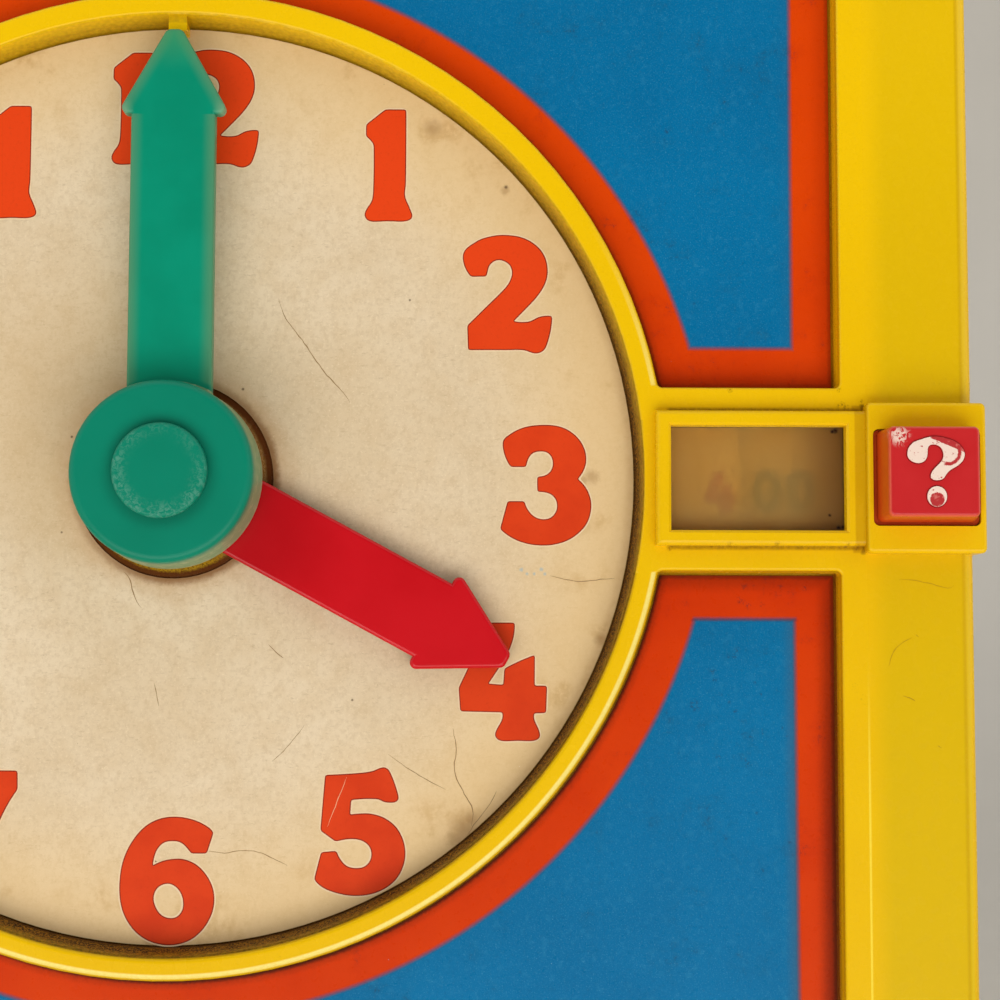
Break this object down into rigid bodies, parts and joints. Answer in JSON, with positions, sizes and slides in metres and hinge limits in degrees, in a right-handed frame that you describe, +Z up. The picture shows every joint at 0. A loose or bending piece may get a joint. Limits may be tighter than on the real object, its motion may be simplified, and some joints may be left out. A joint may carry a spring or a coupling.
{
  "type": "teaching clock",
  "caption": "Square upright teaching clock with a numbered dial, geared hour and minute hands, and a frosted answer window worked by a sprung push button.",
  "frame": {"origin": "middle of the flat underside that the clock stands on", "axes": "+Z up towards 12 o'clock, +X towards 3 o'clock, -Y out of the dial towards the viewer"},
  "size_m": [0.272, 0.0503, 0.271],
  "materials": {
    "case_yellow": "satin moulded",
    "dial_print": "aged printed card",
    "panel_print": "glossy printed sheet",
    "hour_hand_red": "gloss",
    "hand_green": "translucent satin",
    "button_red": "gloss",
    "pane_frosted": "frosted",
    "inner_white": "moulded",
    "number_print": "printed",
    "steel": "plain"
  },
  "bodies": {
    "case": {"front_housing": "case_yellow", "back_cover": "case_yellow", "dial_label": "dial_print", "panel_label": "panel_print", "movement_bridge": "steel", "gear_post": "steel", "post_clip": "steel", "cover_screws": "steel", "bridge_screws": "steel", "return_spring": "steel"},
    "minute_works": {"minute_hand": "hand_green", "hub_plug": "hand_green", "hand_screw": "steel", "minute_shaft": "inner_white", "minute_pinion": "inner_white", "minute_disc": "inner_white", "minute_number_ring": "number_print", "friction_washer": "steel", "shaft_clip": "steel"},
    "hour_works": {"hour_hand": "hour_hand_red", "hour_sleeve": "inner_white", "hour_wheel": "inner_white", "hour_disc": "inner_white", "hour_number_ring": "number_print"},
    "intermediate_works": {"intermediate_gear": "inner_white"},
    "answer_slide": {"question_button": "button_red", "pane_carrier": "inner_white", "frosted_pane": "pane_frosted"}
  },
  "joints": [
    {"name": "minute_turn", "type": "hinge", "parent": "case", "child": "minute_works", "pos_m": [0, -0.014, 0.1355], "axis": [0, 1, 0], "continuous": true},
    {"name": "hour_turn", "type": "hinge", "parent": "case", "child": "hour_works", "pos_m": [0, -0.014, 0.1355], "axis": [0, 1, 0], "continuous": true},
    {"name": "intermediate_turn", "type": "hinge", "parent": "case", "child": "intermediate_works", "pos_m": [0, -0.014, 0.1595], "axis": [0, 1, 0], "continuous": true},
    {"name": "button_press", "type": "slide", "parent": "case", "child": "answer_slide", "axis": [0, 1, 0], "range_m": [0, 0.0055], "stiffness_N_per_m": 300, "springref_m": -0.004, "deforming": ["return_spring"]}
  ],
  "couplings": [
    {"joint": "hour_turn", "follows": "minute_turn", "ratio": 0.083333},
    {"joint": "intermediate_turn", "follows": "minute_turn", "ratio": -0.33333}
  ]
}
